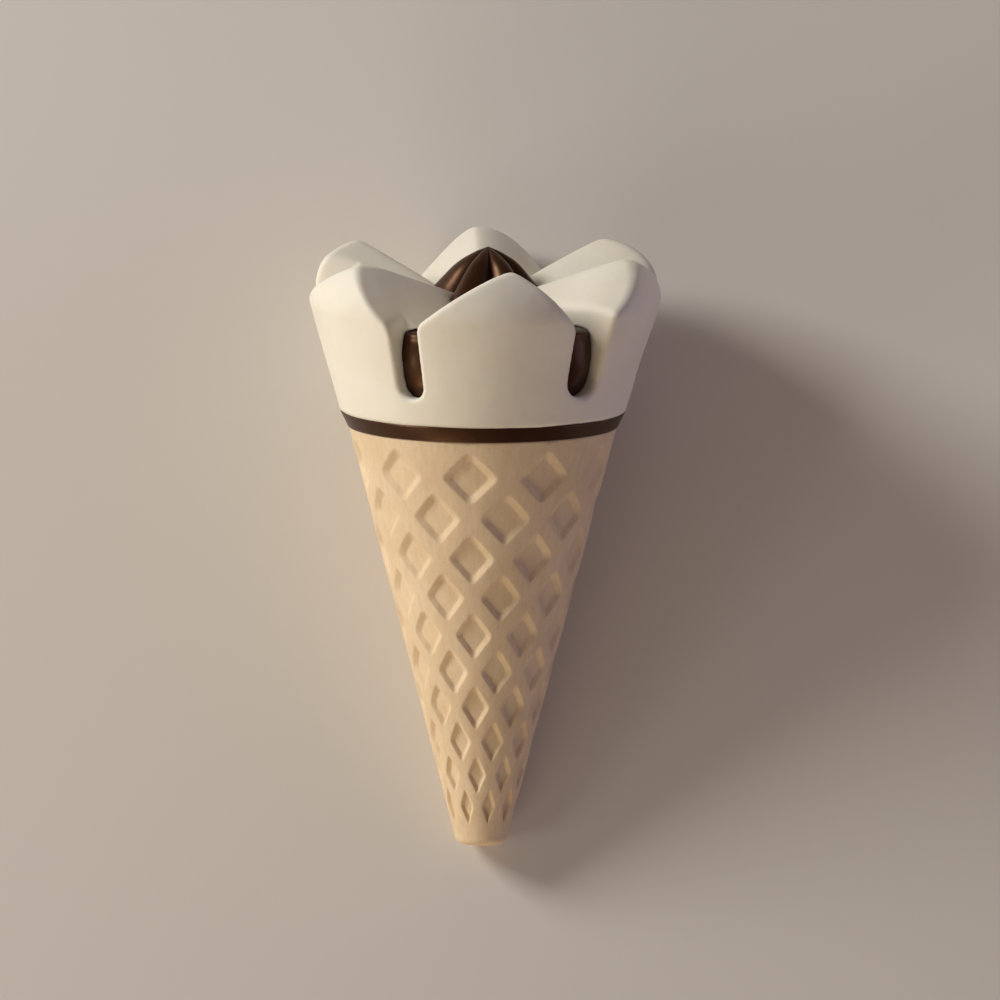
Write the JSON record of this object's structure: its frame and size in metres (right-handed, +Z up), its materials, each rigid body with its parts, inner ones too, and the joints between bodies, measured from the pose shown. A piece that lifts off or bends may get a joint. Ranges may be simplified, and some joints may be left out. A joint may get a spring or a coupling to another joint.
{
  "type": "ice cream cone",
  "caption": "Pressed waffle cone with a thin chocolate band, a tulip-shaped crown of white ice cream petals and a fluted chocolate core, lying on its back.",
  "frame": {"origin": "on the ground, under the middle of the lying cone", "axes": "+Y along the cone from its foot to its petals, +Z up out of its front, +X to its right"},
  "size_m": [0.0739, 0.1328, 0.0719],
  "materials": {
    "wafer": "dry baked wafer, matte, fine pores",
    "ice_cream": "smooth ice cream, soft satin",
    "chocolate": "dark chocolate, satin gloss"
  },
  "bodies": {
    "root": {"wafer_cone": "wafer", "chocolate_band": "chocolate", "ice_cream_crown": "ice_cream", "chocolate_core": "chocolate"}
  },
  "joints": []
}
